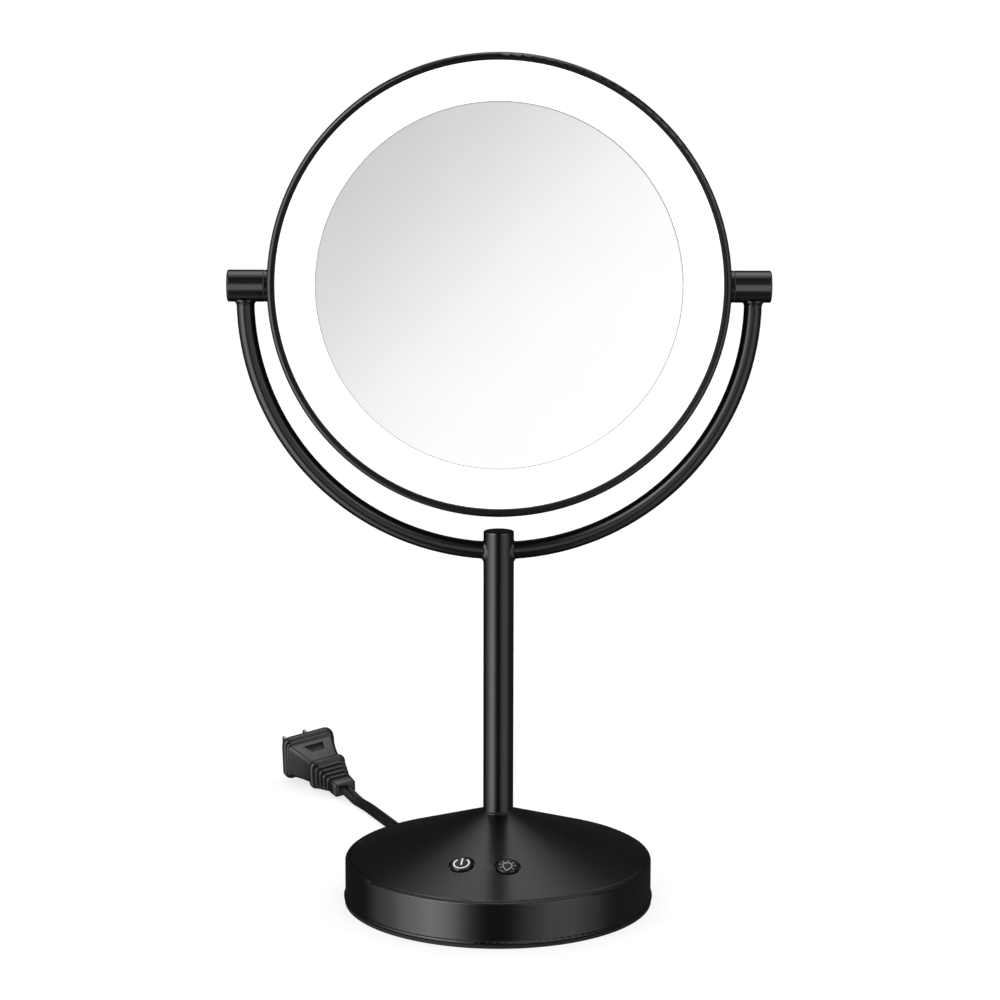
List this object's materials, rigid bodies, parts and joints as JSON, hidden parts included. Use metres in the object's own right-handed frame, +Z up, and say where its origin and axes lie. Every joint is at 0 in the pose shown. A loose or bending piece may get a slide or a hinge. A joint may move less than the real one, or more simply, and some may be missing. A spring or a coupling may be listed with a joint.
{
  "type": "lighted vanity mirror",
  "caption": "Double-sided lighted tabletop mirror: a round tilting head with lit rims in a half-round yoke, on a post and a cone-topped weighted base with push buttons and a mains cord.",
  "frame": {"origin": "centre of the underside of the base, on the table", "axes": "+Z up along the post; the flat mirror and the buttons face -Y; +X to the right as the user sees it, along the pivot axis"},
  "size_m": [0.2536, 0.3049, 0.4047],
  "materials": {
    "satin_black_metal": "satin black powder coat",
    "gloss_black": "glossy moulded black",
    "diffuser_white": "opal white diffuser, lit from behind",
    "mirror_glass": "silvered float glass",
    "foam_tape": "closed-cell foam",
    "white_plastic": "moulded white",
    "circuit_board": "solder-resist green",
    "led_phosphor": "yellow phosphor",
    "steel_hardware": "zinc plated",
    "shaft_steel": "turned steel",
    "washer_plastic": "black acetal",
    "wire_insulation": "soft insulation",
    "iron_weight": "as cast",
    "plate_steel": "black pressed steel",
    "foot_rubber": "matt black pad",
    "icon_white": "white inlay",
    "icon_grey": "pale grey inlay",
    "guide_black": "moulded black",
    "switch_black": "moulded black",
    "plunger_brown": "moulded brown",
    "transformer_yellow": "tape-wrapped core",
    "capacitor_blue": "sleeved can",
    "grommet_rubber": "moulded black",
    "cord_pvc": "satin black sheath",
    "plug_pvc": "moulded black",
    "blade_brass": "nickel-plated brass"
  },
  "bodies": {
    "stand": {"pivot_barrel_left": "satin_black_metal", "pivot_barrel_right": "satin_black_metal", "barrel_cap_left": "satin_black_metal", "barrel_cap_right": "satin_black_metal", "friction_washers": "washer_plastic", "spring_washers": "steel_hardware", "yoke_tube": "satin_black_metal", "post_tube": "satin_black_metal", "post_cap": "gloss_black", "stand_wire": "wire_insulation", "base_cover": "satin_black_metal", "post_bushing": "steel_hardware", "post_nut": "steel_hardware", "base_weight": "iron_weight", "bottom_plate": "plate_steel", "foot_pad": "foot_rubber", "base_screws": "steel_hardware", "weight_screws": "steel_hardware", "power_guide": "guide_black", "power_switch": "switch_black", "power_switch_board": "circuit_board", "brightness_guide": "guide_black", "brightness_switch": "switch_black", "brightness_switch_board": "circuit_board", "driver_board": "circuit_board", "transformer": "transformer_yellow", "capacitors": "capacitor_blue", "board_chips": "switch_black", "base_wires": "wire_insulation", "cord_grommet": "grommet_rubber", "power_cord": "cord_pvc", "plug_body": "plug_pvc", "plug_blades": "blade_brass"},
    "head": {"head_ring": "satin_black_metal", "front_bezel": "gloss_black", "rear_bezel": "gloss_black", "front_diffuser": "diffuser_white", "rear_diffuser": "diffuser_white", "front_mirror": "mirror_glass", "rear_mirror": "mirror_glass", "front_mirror_tape": "foam_tape", "rear_mirror_tape": "foam_tape", "centre_frame": "white_plastic", "front_led_board": "circuit_board", "rear_led_board": "circuit_board", "front_leds": "led_phosphor", "rear_leds": "led_phosphor", "front_reflector": "white_plastic", "rear_reflector": "white_plastic", "head_screws": "steel_hardware", "pivot_shaft_left": "shaft_steel", "pivot_shaft_right": "shaft_steel", "pivot_nuts": "steel_hardware", "head_wire": "wire_insulation"},
    "power_button": {"power_button_cap": "gloss_black", "power_icon": "icon_white", "power_plunger": "plunger_brown"},
    "brightness_button": {"brightness_button_cap": "gloss_black", "brightness_icon": "icon_grey", "brightness_plunger": "plunger_brown"}
  },
  "joints": [
    {"name": "head_tilt", "type": "hinge", "parent": "stand", "child": "head", "pos_m": [0, 0, 0.2969], "axis": [1, 0, 0], "range_deg": [-180, 180]},
    {"name": "power_press", "type": "slide", "parent": "stand", "child": "power_button", "axis": [0.1181, 0.3062, -0.9446], "range_m": [0, 0.0008], "stiffness_N_per_m": 40, "springref_m": -0.0005},
    {"name": "brightness_press", "type": "slide", "parent": "stand", "child": "brightness_button", "axis": [-0.0303, 0.3268, -0.9446], "range_m": [0, 0.0008], "stiffness_N_per_m": 40, "springref_m": -0.0005}
  ]
}
